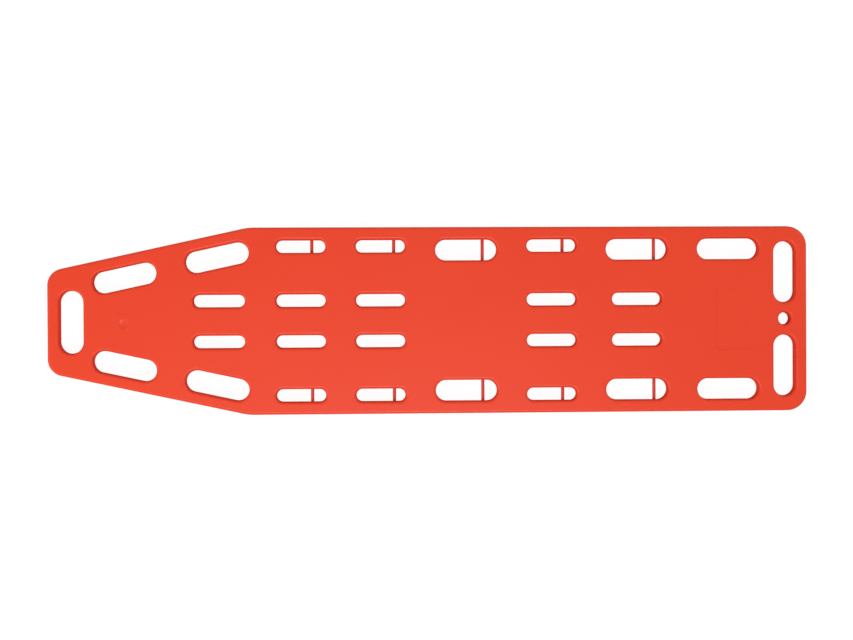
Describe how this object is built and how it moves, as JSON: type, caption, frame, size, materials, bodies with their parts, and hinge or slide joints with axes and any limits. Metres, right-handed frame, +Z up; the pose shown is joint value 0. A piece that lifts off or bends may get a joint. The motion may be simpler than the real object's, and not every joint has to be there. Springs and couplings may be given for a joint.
{
  "type": "spine board",
  "caption": "Rigid plastic rescue board with a tapered foot end, rounded hand slots round its edge and strap pins across its side slots, for carrying a patient held flat.",
  "frame": {"origin": "under the middle of the board's length and width, on the surface that its runners rest on", "axes": "+X towards the head end, +Y to the left as seen from the foot end looking to the head end, +Z up out of the deck"},
  "size_m": [1.8362, 0.453, 0.057],
  "materials": {
    "shell_plastic": "satin moulded polyethylene",
    "pin_plastic": "satin moulded nylon",
    "foam": "rigid closed-cell foam",
    "tube_metal": "drawn",
    "cap_plastic": "moulded",
    "plug_plastic": "moulded"
  },
  "bodies": {
    "root": {"fill_plug": "plug_plastic", "foam_core": "foam", "lower_shell": "shell_plastic", "stiffener_tube_left": "tube_metal", "stiffener_tube_right": "tube_metal", "strap_pin_left_1": "pin_plastic", "strap_pin_left_2": "pin_plastic", "strap_pin_left_3": "pin_plastic", "strap_pin_left_4": "pin_plastic", "strap_pin_left_5": "pin_plastic", "strap_pin_right_1": "pin_plastic", "strap_pin_right_2": "pin_plastic", "strap_pin_right_3": "pin_plastic", "strap_pin_right_4": "pin_plastic", "strap_pin_right_5": "pin_plastic", "tube_cap_left_foot": "cap_plastic", "tube_cap_left_head": "cap_plastic", "tube_cap_right_foot": "cap_plastic", "tube_cap_right_head": "cap_plastic", "upper_shell": "shell_plastic", "vent_plug": "plug_plastic"}
  },
  "joints": []
}
